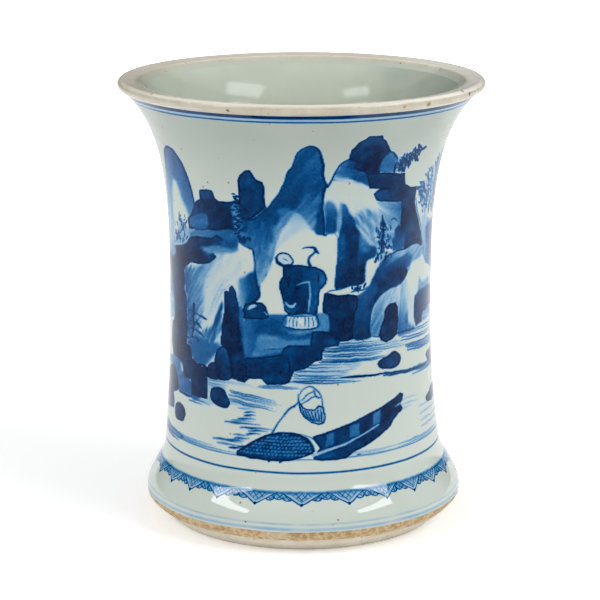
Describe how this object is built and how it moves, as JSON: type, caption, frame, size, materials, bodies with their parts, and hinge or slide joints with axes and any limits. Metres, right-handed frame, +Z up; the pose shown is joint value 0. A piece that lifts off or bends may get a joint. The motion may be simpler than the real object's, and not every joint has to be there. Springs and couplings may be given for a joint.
{
  "type": "brush holder pot",
  "caption": "Waisted porcelain brush pot with a flared, cream-dressed lip, a rounded spreading foot and a pale glaze painted in cobalt blue, open at the top to hold brushes.",
  "frame": {"origin": "centre of the resting ring's plane on the pot's axis, at table level", "axes": "+Z up along the pot's axis; -Y towards the front, where the painted scholar stands; +X to the viewer's right"},
  "size_m": [0.1394, 0.1394, 0.17],
  "materials": {
    "bare_porcelain": "matte fired paste",
    "painted_glaze": "gloss, cobalt painting under the glaze",
    "well_glaze": "gloss pale green-grey glaze",
    "rim_dressing": "satin cream dressing with brown specks",
    "kiln_grit": "rough brown kiln sand"
  },
  "bodies": {
    "root": {"porcelain_body": "bare_porcelain", "outer_glaze": "painted_glaze", "inner_glaze": "well_glaze", "rim_dressing": "rim_dressing", "base_glaze": "well_glaze", "foot_grit": "kiln_grit"}
  },
  "joints": []
}
